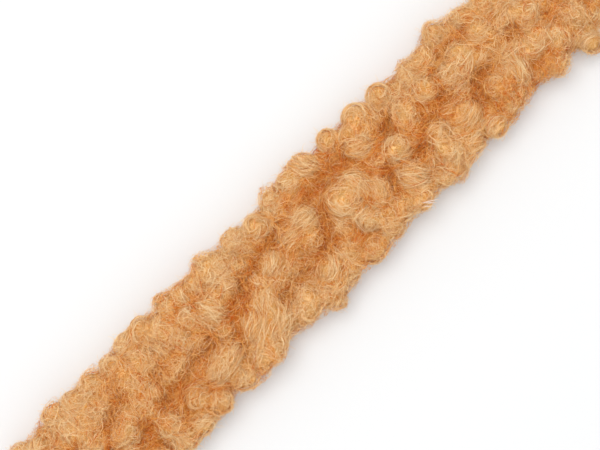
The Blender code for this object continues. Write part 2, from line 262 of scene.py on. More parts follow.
# The strays: long pale fibres that cross from curl to curl, over the partings
STRAYS = 8400
STRAY_CHOICE = 2  # they are chosen from this many times as many starts
STRAY_STEPS = 9
STRAY_STEP = 0.75
STRAY_STEP_RANGE = (0.6, 1.15)
STRAY_PULL = 0.5  # how strongly the seams draw them, and the partings
STRAY_CALM = 0.5
STRAY_WAVES, STRAY_SWING = (0.7, 2.4), (0.2, 0.8)
STRAY_LIFT, STRAY_LIFT_POWER = 0.8, 0.6
STRAY_RIPPLE, STRAY_RIPPLE_RATE = 0.2, 7
STRAY_LEAN, STRAY_LEAN_DRIFT = 0.8, 0.8
STRAY_TIP_WIDTH = 0.4  # of the width in the middle
STRAY_TAPER_ENDS = (0.02, 0.98)
STRAY_STOUT_POWER = 3
STRAY_THIN, STRAY_STOUTER = 0.6, 1.2
# the strays' tone: a paler base, the share of the painted shade that they take, and a random spread
STRAY_TONE, STRAY_TONE_SHARE, STRAY_TONE_SPREAD = 0.35, 0.7, 0.2
STRAY_WIDTH = 0.1
STRAY_SMOOTHING = 1
STRAY_REACH = 4.6
STRAY_SEED = 31

# The flyaways: fine single fibres that stand out of the pile
FLYAWAYS = 14000
FLYAWAY_CHOICE = 4  # they are chosen from this many times as many starts
FLYAWAY_STEPS = 6
FLYAWAY_STEP = 0.5
FLYAWAY_LENGTHS = (0.5, 1.6)
FLYAWAY_ROOT = 0.3  # how deep they start
FLYAWAY_OUTWARD, FLYAWAY_SIDEWAYS = 1.2, 0.9
FLYAWAY_BEND, FLYAWAY_BEND_CHANGE, FLYAWAY_BEND_RATE = 0.75, 0.35, 0.35
FLYAWAY_FALL = 0.15  # how they turn back to the pile at each step
FLYAWAY_TIP_WIDTH = 0.5  # of the width at the root
FLYAWAY_TONES = 3  # they have the palest tones, this many, up to the painted glint
FLYAWAY_WIDTH = 0.1
RIM_SHARE = 0.55  # the share of them for both rims
RIM_FROM = 14.0
FLYAWAY_SEED = 23

# The pale thread ends that poke out of one rim, each from its root to its tip
THREAD_ENDS = (
    ((32.0, -17.0, 14.9), (37.0, -20.2, 11.2)),
    ((31.4, -17.9, 14.4), (34.1, -20.5, 11.0)),
    ((32.4, -17.5, 14.7), (35.6, -20.4, 11.3)),
)
THREAD_RADIUS = 0.17
THREAD_BOW = 0.9
THREAD_STEPS = 9
THREAD_SIDES = 6

# Colours as linear red, green and blue, from deep in the pile to its tips. The deep tones are painted
# shade, the tips' tone is painted light on the crowns, and GLINT is a painted glint
TONES = 10
PALEST = 1.2  # the tone of a painted glint, where 0 is deep in the pile and 1 at its tips
LEAST_PALE = 0.08  # the mean tone of the deepest fibres, in the darkest painted shade
# Painted shade: how much the tone falls with depth in the pile and in a parting; then how much it falls
# where the random blend is high
DEPTH_SHADE, PARTING_SHADE, BLEND_FADE = 0.42, 0.34, 0.05
# Painted shade in a seam: how much the tone falls there, and how that varies with the blend
SEAM_SHADE, SEAM_BLEND = 0.5, 0.26
SEAM_SHADE_LEAST, SEAM_SHADE_MOST = 0.12, 0.85
DEEP = (0.65, 0.135, 0.01)
MIDDLE = (0.825, 0.372, 0.08)
TIP = (0.876, 0.574, 0.267)
GLINT = (0.90, 0.655, 0.36)  # a painted glint on the palest single fibres
KNIT = (0.80, 0.60, 0.38)
# painted shade in the gaps between the knit's loops
KNIT_SHADED_GAPS = (0.50, 0.31, 0.15)
THREAD = (0.88, 0.74, 0.64)
FLOOR = (0.783, 0.788, 0.791)
FIBRE_ROUGHNESS, FIBRE_SHINE = 0.6, 0.15
CLOTH_ROUGHNESS, CLOTH_SHEEN, SHEEN_ROUGHNESS = 0.95, 0.1, 0.6
# The knit's wales, then its courses: the waves' direction, scale and distortion
KNIT_WAVES = (("Y", 110.0, 1.2), ("X", 150.0, 1.6))
KNIT_GAP_SHARE = 0.6  # from the painted shade of the gaps at 0 up to this value, above which the knit has its full colour
KNIT_RELIEF = 0.0004
RELIEF_STRENGTH = 0.8

# The envelope that depth in the pile is measured from
ENVELOPE_HALF_LENGTH = 124.5
ENVELOPE_HALF_WIDTH = 21.0
ENVELOPE_CROWN = 17.0
DEEPEST = 6.5

# The photograph's frame: straight above, the trim running up and to the right
PIXELS_PER_MM = 3.16
FRAME_WIDTH = 600 / PIXELS_PER_MM
FRAME_TURN = -45.0
FRAME_CENTRE = (0.0, 5.15)
FRAME_HEIGHT = 10.0  # where a millimetre has that many pixels
LENS = 100.0
SENSOR = 36.0

# The floor and the light, in metres and watts
FLOOR_SIZE = 6.0
SKY_STRENGTH = 0.8
LAMP_SIZE = 1.0
LAMP_POWER = 8.0
LAMP_PLACE = (0.0, 0.3, 1.1)


def superellipse_distance(across, height, half_width, crown, fullness):
    """The distance from a half superellipse along the ray from its middle, negative inside."""
    up = np.maximum(height, 0.0)
    share = (np.abs(across / half_width) ** fullness + (up / crown) ** fullness) ** (1.0 / fullness)
    return np.hypot(across, up) * (1.0 - 1.0 / np.maximum(share, 1e-6))


def unit(vectors):
    """The vectors at length 1."""
    return vectors / np.maximum(np.linalg.norm(vectors, axis=-1, keepdims=True), 1e-9)


def arch_height(across):
    """How high the curls' centres stand at this distance across the trim."""
    share = min(1.0, abs(across) / ARCH_HALF_WIDTH)
    return ARCH_FOOT + (ARCH_CROWN - ARCH_FOOT) * math.sqrt(1.0 - share * share)


def distance_to_parting(along, across, parting):
    """The plan distance from points to a parting's middle line."""
    start = np.array(parting[0:2])
    run = np.array(parting[2:4]) - start
    offset = np.stack([along, across], axis=-1) - start
    share = np.clip(offset @ run / (run @ run), 0.0, 1.0)
    return np.linalg.norm(offset - share[..., None] * run, axis=-1)


def in_parting(along, across):
    """True where a parting runs."""
    return any(distance_to_parting(along, across, row) < row[4] for row in PARTINGS)


def parting_dip(points):
    """How far the core sinks at each point because of the partings."""
    dip = np.zeros(points.shape[:-1])
    for row in PARTINGS:
        away = distance_to_parting(points[..., 0], points[..., 1], row) / (row[4] * PARTING_REACH)
        dip = np.maximum(dip, PARTING_DEPTH * np.clip(1.0 - away**2, 0.0, 1.0))
    return dip


def placed_curls():
    """The listed curls, as (x, y, z, radius)."""
    curls = []
    for along, across, radius in RIM_CURLS + CROWN_CURLS:
        sink = SINK_SHARE * (radius - USUAL_RADIUS)
        curls.append((along, across, arch_height(across) - sink, radius))
    return curls


def low_curls():
    """The curls along the foot of both sides and on both cut ends."""
    draw = random.Random(FOOT_SEED)
    curls = []
    for side in (-1, 1):
        half_row = RECESS_HALF_LENGTH - FOOT_MARGIN
        for along in np.arange(-half_row, half_row, FOOT_PITCH):
            x = along + draw.uniform(-PLACE_STRAY, PLACE_STRAY)
            y = side * (CORE_HALF_WIDTH - FOOT_INSET) + draw.uniform(-DEPTH_STRAY, DEPTH_STRAY)
            radius = FOOT_RADIUS + draw.uniform(-DEPTH_STRAY, DEPTH_STRAY)
            curls.append((x, y, radius + CORE_FOOT, radius))
        for z in END_ROWS:
            for across in np.linspace(-END_ROW_HALF, END_ROW_HALF, END_ROW_COUNT):
                x = side * (RECESS_HALF_LENGTH + END_REACH) + draw.uniform(-DEPTH_STRAY, DEPTH_STRAY)
                y = across + draw.uniform(-PLACE_STRAY, PLACE_STRAY)
                radius = END_RADIUS + draw.uniform(-DEPTH_STRAY, DEPTH_STRAY)
                curls.append((x, y, z, radius))
    return curls


def fill_curls(curls):
    """Packs smaller curls between the others, over the arch, down its sides and round its ends."""
    draw = random.Random(FILL_SEED)
    reach = RECESS_HALF_LENGTH + END_REACH
    packed = list(curls)
    for _ in range(FILL_TRIES):
        if len(packed) >= MOST_CURLS:
            break
        radius = draw.uniform(FILL_SMALLEST, FILL_LARGEST)
        along = draw.uniform(-reach, reach)
        lean = math.radians(draw.uniform(-SIDE_ANGLE, SIDE_ANGLE))
        limit = FILL_ACROSS - radius
        across = max(-limit, min(limit, (CORE_HALF_WIDTH - FILL_SINK) * math.sin(lean)))
        height = ARCH_FOOT + (ARCH_CROWN - ARCH_FOOT - FILL_SINK) * math.cos(lean)
        height = max(height, radius + CORE_FOOT)
        if in_parting(along, across):
            continue
        centre = (along, across, height)
        nearest = min(math.dist(centre, c[:3]) / (radius + c[3]) for c in packed)
        if nearest >= FILL_SPACING:
            packed.append((*centre, radius))
    return packed


class Waves:
    """A smooth random value at each point in space, with a mean of 0 and a spread of 1."""

    def __init__(self, count, shortest, longest, draw):
        way = unit(draw.normal(size=(count, 3)))
        self.rate = way * 2 * math.pi / draw.uniform(shortest, longest, (count, 1))
        self.start = draw.uniform(0, 2 * math.pi, count)

    def at(self, points):
        waves = np.sin(points @ self.rate.T + self.start).sum(axis=-1)
        return waves * math.sqrt(2.0 / len(self.start))


class Curls:
    """All the curls, with the axis that each one's fibres are wound round."""

    def __init__(self, rows):
        table = np.array(rows)
        draw = np.random.default_rng(UNEVEN_SEED)
        self.rows = rows
        self.centre = table[:, :3]
        self.radius = table[:, 3]
        self.bulk = np.clip(self.radius / BULKY, 0.0, 1.0)
        count = len(table)
        level = np.full(count, OUTWARD_HEIGHT)
        middle = np.stack([self.centre[:, 0], np.zeros(count), level], axis=1)
        outward = unit(self.centre - middle)
        chance = draw.random((MOST_ROWS, 5))[:count]
        flat_lean = FLAT_LEAN + FLAT_LEAN_RANGE * chance[:, 1]
        upright = chance[:, 0] < UPRIGHT_SHARE
        lean = np.radians(np.where(upright, UPRIGHT_LEAN * chance[:, 1], flat_lean))
        turn = 2 * math.pi * chance[:, 2]
        beside = unit(np.cross(outward, [1.0, 0.0, 0.0]))
        ahead = np.cross(outward, beside)
        flat = np.cos(turn)[:, None] * ahead + np.sin(turn)[:, None] * beside
        self.axis = np.cos(lean)[:, None] * outward + np.sin(lean)[:, None] * flat
        self.spiral = SPIRAL * (chance[:, 3] - 0.5)
        self.calm = np.where(chance[:, 4] < CALM_SHARE * self.bulk, 1.0, 0.0)
        self.uneven = Waves(UNEVEN_WAVES, UNEVEN_SHORTEST, UNEVEN_LONGEST, draw)
        self.blend = Waves(BLEND_WAVES, BLEND_SHORTEST, BLEND_LONGEST, draw)
        placed = self.centre[:len(RIM_CURLS) + len(CROWN_CURLS)]
        for along, across, lean, turn in WINDINGS:
            curl = np.argmin(np.hypot(placed[:, 0] - along, placed[:, 1] - across))
            lean, turn = math.radians(lean), math.radians(turn)
            self.axis[curl] = (
                math.sin(lean) * math.cos(turn), math.sin(lean) * math.sin(turn), math.cos(lean)
            )
            self.spiral[curl] = 0.0
            self.calm[curl] = 1.0

    def near(self, points):
        """The nearest curls to each point, the gaps to them and the directions out of them."""
        which = np.empty((len(points), NEAREST), int)
        gaps = np.empty((len(points), NEAREST))
        slab = np.floor(points[:, 0] / SLAB)
        for number in np.unique(slab):
            rows = np.flatnonzero(slab == number)
            away = np.abs(self.centre[:, 0] - (number + 0.5) * SLAB)
            close = np.flatnonzero(away < SLAB / 2 + SLAB_REACH)
            gap = np.linalg.norm(points[rows, None] - self.centre[close], axis=2) - self.radius[close]
            least = np.argpartition(gap, NEAREST, axis=1)[:, :NEAREST]
            which[rows] = close[least]
            gaps[rows] = np.take_along_axis(gap, least, axis=1)
        return which, gaps, unit(points[:, None, :] - self.centre[which])

    def calm_at(self, points):
        """1 where the nearest curl to a point is calm, and 0 where it is wild."""
        which, gap, _ = self.near(points)
        nearest = np.take_along_axis(which, gap.argmin(axis=1)[:, None], axis=1)
        return self.calm[nearest]


def core_field(points):
    """The distance from the core that the curls stand on, and the direction out of it."""
    up = points[:, 2] - CORE_FOOT
    crown = CORE_CROWN - CORE_FOOT + CORE_FILL
    distance = superellipse_distance(points[:, 1], up, CORE_HALF_WIDTH, crown, CORE_FULLNESS)
    distance = distance + PARTING_SHARE * parting_dip(points)
    outward = np.zeros_like(points)
    outward[:, 1] = np.sign(points[:, 1]) * np.abs(points[:, 1] / CORE_HALF_WIDTH) ** (CORE_FULLNESS - 1)
    outward[:, 2] = np.maximum(up, 0.0) / crown
    beyond = np.abs(points[:, 0]) - (RECESS_HALF_LENGTH + END_LAP)
    past_end = beyond > distance
    outward[past_end] = 0.0
    outward[past_end, 0] = np.sign(points[past_end, 0])
    return np.maximum(distance, beyond), unit(outward)


def pile_field(points, curls, heading=None, reach=SEAM_REACH):
    """The pile's surface near each point: distance, way out, nearness of a seam and winding."""
    which, gap, outward = curls.near(points)
    core_gap, core_out = core_field(points)
    gap = np.concatenate([gap, core_gap[:, None]], axis=1)
    outward = np.concatenate([outward, core_out[:, None, :]], axis=1)
    bulk = np.concatenate([curls.bulk[which], np.ones((len(points), 1))], axis=1)
    least = gap.min(axis=1, keepdims=True)
    weight = np.clip(1.0 - (gap - least) / (reach * bulk), 0.0, 1.0) ** 2
    joined = weight * bulk
    seam = np.minimum(joined.sum(axis=1) - joined.max(axis=1), SEAM_LIMIT)
    distance = least[:, 0] - SEAM_FILL * np.ravel(reach) * seam + GUIDE_DEPTH
    distance = distance - UNEVENNESS * curls.uneven.at(points)
    weight /= weight.sum(axis=1, keepdims=True)
    normal = unit((weight[..., None] * outward).sum(axis=1))
    seam = seam / SEAM_LIMIT
    if heading is None:
        return distance, normal, seam, None
    axis = curls.axis[which]
    winding = np.cross(axis, outward[:, :-1])
    towards_pole = axis - (axis * outward[:, :-1]).sum(axis=2, keepdims=True) * outward[:, :-1]
    winding = winding + curls.spiral[which][..., None] * towards_pole
    agree = np.sign((winding * heading[:, None, :]).sum(axis=2, keepdims=True))
    winding = (weight[:, :-1, None] * agree * winding).sum(axis=1)
    winding += weight[:, -1:] * heading
    return distance, normal, seam, winding


def pile_depth(points):
    """How deep in the pile each point lies: 0 at its outer envelope, 1 at its deepest."""
    below = -superellipse_distance(
        points[..., 1], points[..., 2], ENVELOPE_HALF_WIDTH, ENVELOPE_CROWN, CORE_FULLNESS
    )
    below = np.minimum(below, ENVELOPE_HALF_LENGTH - np.abs(points[..., 0]))
    return np.clip(below / DEEPEST, 0.0, 1.0)


def shaded_paleness(points, seams, curls):
    """The tone of the fibre at each point, with painted shade: from 0 deep in a seam or parting to 1 on
    a crown.
    """
    blend = curls.blend.at(points)
    seams = seams * np.clip(SEAM_SHADE + SEAM_BLEND * blend, SEAM_SHADE_LEAST, SEAM_SHADE_MOST)
    parting_shade = PARTING_SHADE * parting_dip(points) / PARTING_DEPTH
    pale = 1.0 - DEPTH_SHADE * pile_depth(points) - seams - parting_shade - BLEND_FADE * blend
    return np.maximum(pale, LEAST_PALE)


def even_superellipse(half_width, height, fullness, last_angle, count):
    """Evenly spaced points on a superellipse, from (-half_width, 0) round to last_angle."""
    angle = np.linspace(0.0, last_angle, 2401)
    power = 2.0 / fullness
    across = -half_width * np.sign(np.cos(angle)) * np.abs(np.cos(angle)) ** power
    up = height * np.abs(np.sin(angle)) ** power
    run = np.concatenate([[0.0], np.cumsum(np.hypot(np.diff(across), np.diff(up)))])
    even = np.linspace(0.0, run[-1], count)
    return np.interp(even, run, across), np.interp(even, run, up)


def core_stations():
    """Where the core's stations lie along it, and the share of its section at each."""
    middle = np.linspace(-RECESS_HALF_LENGTH, RECESS_HALF_LENGTH, GROUND_STATIONS)
    last_angle = math.acos(END_SHARE ** (END_FULLNESS / 2))
    inward, outward = even_superellipse(
        CORE_HALF_WIDTH, END_LAP, END_FULLNESS, last_angle, GROUND_END_STATIONS
    )
    end = RECESS_HALF_LENGTH + RECESS_STEP + outward
    end_share = -inward / CORE_HALF_WIDTH
    along = np.concatenate([-end[::-1], middle, end])
    share = np.concatenate([end_share[::-1], np.ones(GROUND_STATIONS), end_share])
    return along, share


def core_grid(stations, shares):
    """The core's surface above its rim, as points [station, place in section, xyz]."""
    across, up = even_superellipse(
        CORE_HALF_WIDTH, CORE_CROWN - CORE_FOOT, CORE_FULLNESS, math.pi, GROUND_RIM_TO_RIM
    )
    grid = np.empty((len(stations), len(across), 3))
    grid[:, :, 0] = stations[:, None]
    grid[:, :, 1] = across * shares[:, None]
    grid[:, :, 2] = CORE_FOOT + up * shares[:, None]
    return grid


def curl_reach(points, normals, curls):
    """How far along each normal the furthest curl reaches, or minus infinity if none does."""
    reach = np.full(points.shape[:-1], -np.inf)
    for centre, radius in zip(curls.centre, curls.radius):
        offset = centre - points
        ahead = (offset * normals).sum(axis=-1)
        beside = (offset * offset).sum(axis=-1) - ahead**2
        hit = ahead + np.sqrt(np.maximum(radius**2 - beside, 0.0))
        reach = np.where(beside < radius**2, np.maximum(reach, hit), reach)
    return reach


def tufted(curls, surface):
    """The curls with the tufts that stand on them added."""
    draw = np.random.default_rng(TUFT_SEED)
    places = sample_surface(surface, TUFT_TRIES, draw)
    wild = curls.calm_at(places)[:, 0] < 0.5
    places = places[wild & (np.abs(places[:, 0]) < TUFT_HALF_LENGTH)]
    normals = pile_field(places, curls)[1]
    kept = []
    for index, place in enumerate(places):
        if len(kept) >= TUFTS:
            break
        if not kept or np.linalg.norm(places[kept] - place, axis=1).min() > TUFT_SPACING:
            kept.append(index)
    radius = draw.uniform(TUFT_SMALLEST, TUFT_LARGEST, (len(kept), 1))
    centre = places[kept] - TUFT_SINK * radius * normals[kept]
    return Curls(curls.rows + [tuple(row) for row in np.hstack([centre, radius])])


def pile_surface(curls):
    """The surface that the fibres lie on, as a grid of points and the grid's own normals."""
    grid = core_grid(*core_stations())
    normals = unit(np.cross(np.gradient(grid, axis=0), np.gradient(grid, axis=1)))
    move = np.maximum(curl_reach(grid, normals, curls), -parting_dip(grid))
    move[:, (0, -1)] = np.clip(move[:, (0, -1)], 0.0, FOOT_REACH)
    for _ in range(SETTLING_ROUNDS):
        points = (grid + normals * move[..., None]).reshape(-1, 3)
        distance = pile_field(points, curls)[0].reshape(move.shape)
        distance = np.clip(distance, -SETTLING_MOST, SETTLING_MOST)
        move[:, 1:-1] -= SETTLING_SHARE * distance[:, 1:-1]
    return grid + normals * move[..., None], normals


def underside_row(along, rim):
    """The points below one station: the rim's foot, then the recess that the backing fits."""
    over_backing = abs(along) <= RECESS_HALF_LENGTH
    roof = BACKING_THICKNESS + FIT_GAP if over_backing else CORE_FOOT
    half = min(RECESS_HALF_WIDTH, UNDERSIDE_INSET * rim)
    row = [(along, -half, CORE_FOOT)]
    row += [(along, share * half, roof) for share in UNDERSIDE]
    row.append((along, half, CORE_FOOT))
    return row


def mesh_piece(name, points, faces, materials, slots=None):
    """A smooth-shaded mesh piece from arrays of points in millimetres and of faces."""
    mesh = bpy.data.meshes.new(name)
    mesh.vertices.add(len(points))
    mesh.vertices.foreach_set("co", (np.asarray(points) * MM).astype(np.float32).ravel())
    mesh.loops.add(faces.size)
    mesh.loops.foreach_set("vertex_index", np.asarray(faces, np.int32).ravel())
    mesh.polygons.add(len(faces))
    mesh.polygons.foreach_set("loop_start", np.arange(0, faces.size, faces.shape[1], dtype=np.int32))
    for surface in materials:
        mesh.materials.append(surface)
    if slots is not None:
        mesh.polygons.foreach_set("material_index", np.asarray(slots, np.int32))
    mesh.update(calc_edges=True)
    mesh.shade_smooth()
    piece = bpy.data.objects.new(name, mesh)
    bpy.context.scene.collection.objects.link(piece)
    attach(piece, "root")
    return piece


def ring_faces(rings, ring_size, closed=True):
    """The faces between successive rings of points, as rows of four point numbers."""
    ring = np.arange(rings - 1)[:, None] * ring_size
    place = np.arange(ring_size if closed else ring_size - 1)[None, :]
    after = (place + 1) % ring_size
    corners = (ring + place, ring + after, ring + ring_size + after, ring + ring_size + place)
    return np.stack(corners, axis=-1).reshape(-1, 4)


def principled(name, colour, roughness, shine=0.1, sheen=0.0):
    """A material with one colour, and its shader node."""
    made = bpy.data.materials.new(name)
    made.use_nodes = True
    shader = made.node_tree.nodes["Principled BSDF"]
    shader.inputs["Base Color"].default_value = (*colour, 1.0)
    shader.inputs["Roughness"].default_value = roughness
    shader.inputs["Specular IOR Level"].default_value = shine
    shader.inputs["Sheen Weight"].default_value = sheen
    shader.inputs["Sheen Roughness"].default_value = SHEEN_ROUGHNESS
    return made, shader


def tone_colour(share):
    """The fibres' colour, from 0 deep in the pile to 1 at its tips: painted shade at the deep end,
    painted light towards the tips and a painted glint beyond them.
    """
    places = (0.0, 0.5, 1.0, PALEST)
    return tuple(np.interp(share, places, channel) for channel in zip(DEEP, MIDDLE, TIP, GLINT))


def tone_slots(pale):
    """The number of the fibre material whose tone is nearest to each value."""
    return np.clip(np.round(pale / PALEST * (TONES - 1)), 0, TONES - 1).astype(int)


def fibre_materials():
    """One material for each tone of the fibres, from deep to tip: lit and shaded copies of one fibre,
    with painted shade in the deep ones and a painted glint in the palest.
    """
    made = []
    for tone in range(TONES):
        colour = tone_colour(PALEST * tone / (TONES - 1))
        name = f"fibre_tone_{tone + 1}"
        made.append(principled(name, colour, FIBRE_ROUGHNESS, shine=FIBRE_SHINE)[0])
    return made


def add_node(tree, kind, **values):
    """A new node with its named input values set."""
    node = tree.nodes.new(kind)
    for name, value in values.items():
        node.inputs[name.replace("_", " ")].default_value = value
    return node


def add_math(tree, operation, *values):
    """The output of a new math node whose inputs are other outputs or plain numbers."""
    node = tree.nodes.new("ShaderNodeMath")
    node.operation = operation
    for number, value in enumerate(values):
        if isinstance(value, float):
            node.inputs[number].default_value = value
        else:
            tree.links.new(value, node.inputs[number])
    return node.outputs[0]


def colour_by(tree, shader, pattern, colours, places, relief):
    """Colours a surface from dark to light by a pattern's value, and raises it by that value."""
    ramp = tree.nodes.new("ShaderNodeValToRGB")
    for element, place, colour in zip(ramp.color_ramp.elements, places, colours):
        element.position = place
        element.color = (*colour, 1.0)
    tree.links.new(pattern, ramp.inputs["Fac"])
    tree.links.new(ramp.outputs["Color"], shader.inputs["Base Color"])
    bump = add_node(tree, "ShaderNodeBump", Strength=RELIEF_STRENGTH, Distance=relief)
    tree.links.new(pattern, bump.inputs["Height"])
    tree.links.new(bump.outputs["Normal"], shader.inputs["Normal"])


def ground_material(name, dark, light):
    """Matted fibre below the locks: fine tangled lines from one tone to another, in relief, with painted
    shade in the gaps between them.
    """
    made, shader = principled(name, tone_colour(dark), CLOTH_ROUGHNESS)
    tree = made.node_tree
    place = tree.nodes.new("ShaderNodeTexCoord")
    swirls = []
    for scale, turns in GROUND_SWIRLS:
        flow = add_node(
            tree, "ShaderNodeTexNoise", Scale=scale, Detail=1.0, Distortion=GROUND_DISTORTION
        )
        tree.links.new(place.outputs["Object"], flow.inputs["Vector"])
        lines = add_math(tree, "MULTIPLY", flow.outputs["Fac"], turns)
        swirls.append(add_math(tree, "SINE", lines))
    tangle = add_math(tree, "MAXIMUM", *swirls)
    colours = (tone_colour(dark), tone_colour(light))
    colour_by(tree, shader, tangle, colours, (GROUND_SHADED_GAPS, 1.0), GROUND_RELIEF)
    return made


def make_ground(surface, normals, curls):
    """The closed surface below the fibres, with the recess for the backing."""
    lowered = surface - normals * GROUND_SINK
    for _ in range(GROUND_EASING):
        beside = lowered[:-2, 1:-1] + lowered[2:, 1:-1] + lowered[1:-1, :-2] + lowered[1:-1, 2:]
        lowered[1:-1, 1:-1] = GROUND_KEEP * lowered[1:-1, 1:-1] + GROUND_BESIDE * beside
    lowered[..., 2] = np.maximum(lowered[..., 2], CORE_FOOT)
    lowered[:, (0, -1), 2] = CORE_FOOT
    stations, shares = core_stations()
    rings = []
    for section, station, share in zip(lowered, stations, shares):
        below = underside_row(station, CORE_HALF_WIDTH * share)
        rings.append(np.concatenate([section, np.array(below[::-1])]))
    ring_size = len(rings[0])
    points = np.concatenate(rings)
    faces = list(ring_faces(len(rings), ring_size))
    ends = []
    for first in (0, (len(rings) - 1) * ring_size):
        middle = points[first:first + GROUND_RIM_TO_RIM].mean(axis=0)
        ends.append(middle)
        tip = len(points) + len(ends) - 1
        for k in range(0, ring_size - 1, 2):
            faces.append((first + k, first + k + 1, first + (k + 2) % ring_size, tip))
        if ring_size % 2 == 1:
            faces.append((first + ring_size - 1, first, tip, tip))
    points = np.concatenate([points, np.array(ends)])
    faces = np.array(faces)
    surfaces = [ground_material(f"pile_ground_{k + 1}", *row) for k, row in enumerate(GROUND_TONES)]
    # each face takes the ground material that matches the painted shade of the fibres there
    middles = points[faces].mean(axis=1)
    pale = shaded_paleness(middles, pile_field(middles, curls)[2], curls)
    slots = np.clip((pale * len(surfaces)).astype(int), 0, len(surfaces) - 1)
    return mesh_piece("pile_ground", points, faces, surfaces, slots)


def sample_surface(surface, count, draw):
    """Random points on the surface grid, spread evenly over its area but thinner at the foot."""
    corner = surface[:-1, :-1]
    along = surface[1:, :-1] - corner
    across = surface[:-1, 1:] - corner
    area = np.linalg.norm(np.cross(along, across), axis=2)
    area = (area * np.where(corner[..., 2] < LOW_HEIGHT, LOW_SHARE, 1.0)).ravel()
    face = draw.choice(area.size, count, p=area / area.sum())
    u, v = draw.random((2, count, 1))
    corner, along, across = (part.reshape(-1, 3)[face] for part in (corner, along, across))
    return corner + u * along + v * across


def trace(starts, curls, draw, steps, step, reach, calm):
    """Guides traced over the curls from their starts: points, normals, seams [guide, step, ...]."""
    count = len(starts)
    position = starts.copy()
    heading = unit(draw.normal(size=(count, 3)))
    wobble = WILD_WOBBLE + (CALM_WOBBLE - WILD_WOBBLE) * calm
    turning = wobble * draw.normal(size=(count, 1))
    loose = draw.random((count, 1)) < LOOSE_SHARE * (1.0 - LOOSE_LESS * calm)
    inertia = np.where(loose, LOOSE_KEEP, INERTIA)
    points, normals, seams = [], [], []
    for index in range(steps):
        distance, normal, seam, winding = pile_field(position, curls, heading, reach)
        position = position - normal * distance[:, None]
        keep = FIRST_KEEP if index == 0 else inertia
        sideways = np.cross(normal, heading)
        turning = TURN_KEEP * turning + TURN_NEW * wobble * draw.normal(size=(count, 1))
        heading = keep * heading + (1.0 - keep) * winding + turning * TURN_RATE * sideways
        heading = unit(heading - (heading * normal).sum(axis=1, keepdims=True) * normal)
        points.append(position)
        normals.append(normal)
        seams.append(seam)
        position = position + heading * step
    return np.stack(points, axis=1), np.stack(normals, axis=1), np.stack(seams, axis=1)


def smoothed(paths, rounds):
    """The paths with their bends eased, so that they bridge the hollows that they cross."""
    paths = paths.copy()
    for _ in range(rounds):
        paths[:, 1:-1] = 0.25 * paths[:, :-2] + 0.5 * paths[:, 1:-1] + 0.25 * paths[:, 2:]
    return paths


def beside_paths(paths, normals):
    """The directions that lie across each path, square to the normals."""
    return unit(np.cross(unit(np.gradient(paths, axis=1)), normals))


def raised(paths):
    """The paths, kept off the surface that the trim lies on."""
    paths[..., 2] = np.maximum(paths[..., 2], LOWEST)
    return paths


def tapering(run, tip_width):
    """The share of its full width that a fibre has along its run, with a peak in the middle."""
    return tip_width + (1.0 - tip_width) * np.sin(math.pi * run) ** 0.5


def ribbons(paths, sides, widths):
    """Points and faces of flat fibres along their paths [fibre, step, xyz]."""
    count, steps = paths.shape[:2]
    half = 0.5 * widths[..., None] * sides
    points = np.stack([paths - half, paths + half], axis=2).reshape(-1, 3)
    fibre = (np.arange(count) * steps * 2)[:, None, None]
    start = fibre + (np.arange(steps - 1) * 2)[None, :, None]
    faces = (start + np.array([0, 1, 3, 2])).reshape(-1, 4)
    return points, faces


def lock_fibres(points, normals, calm, draw):
    """Each lock's fibres, spread round its guide.

    Returns their paths, flat sides and widths, how far out they lie and their contrast in tone.
    """
    locks, steps = points.shape[:2]
    run = np.linspace(0.0, 1.0, steps)
    beside = beside_paths(points, normals)[:, None]
    outward = normals[:, None]
    shape = (locks, FIBRES_IN_LOCK, 1)
    angle = draw.uniform(0, 2 * math.pi, shape) + draw.normal(0, LOCK_TWIST, shape) * run
    spread = LOCK_RADIUS * np.sqrt(draw.random(shape))
    spread = spread * (LOCK_ROOT + LOCK_FLARE * draw.random(shape) * run)
    wave = draw.uniform(*LOCK_WAVES, shape)
    phase = draw.uniform(0, 2 * math.pi, shape)
    frizz_size = (WILD_FRIZZ + (CALM_FRIZZ - WILD_FRIZZ) * calm)[..., None]
    frizz_size = frizz_size * draw.uniform(*FRIZZ_RANGE, shape)
    frizz = frizz_size * np.sin(2 * math.pi * wave * run + phase)
    wave = draw.uniform(*LOCK_LIFT_WAVES, shape)
    sideways = spread * np.cos(angle) + frizz
    arch = draw.uniform(*LOCK_ARCH, (locks, 1, 1)) * np.sin(math.pi * run) ** LOCK_ARCH_POWER
    up = LOCK_FLATNESS * spread * np.sin(angle) + arch - LOCK_SINK
    up = up + FRIZZ_LIFT * frizz_size * np.sin(2 * math.pi * wave * run - phase)
    paths = raised(points[:, None] + sideways[..., None] * beside + up[..., None] * outward)
    lean = draw.uniform(-LOCK_LEAN, LOCK_LEAN, shape) + draw.normal(0, LOCK_LEAN_DRIFT, shape) * run
    sides = np.cos(lean)[..., None] * beside + np.sin(lean)[..., None] * outward
    taper = tapering(run * LOCK_TAPER_RUN + LOCK_TAPER_START, LOCK_TIP_WIDTH)
    stout = draw.random(shape) ** LOCK_STOUT_POWER
    widths = FIBRE_WIDTH * (LOCK_THIN + LOCK_STOUTER * stout) * taper
    flat = (locks * FIBRES_IN_LOCK, steps)
    outer = (up.mean(axis=2) - up.mean()) / LOCK_RADIUS
    outer = np.clip(OUTER_GAIN * outer, -1.0, 1.0).reshape(-1, 1)
    contrast = (CONTRAST + STOUT_CONTRAST * stout).reshape(-1, 1)
    return paths.reshape(*flat, 3), sides.reshape(*flat, 3), widths.reshape(flat), outer, contrast


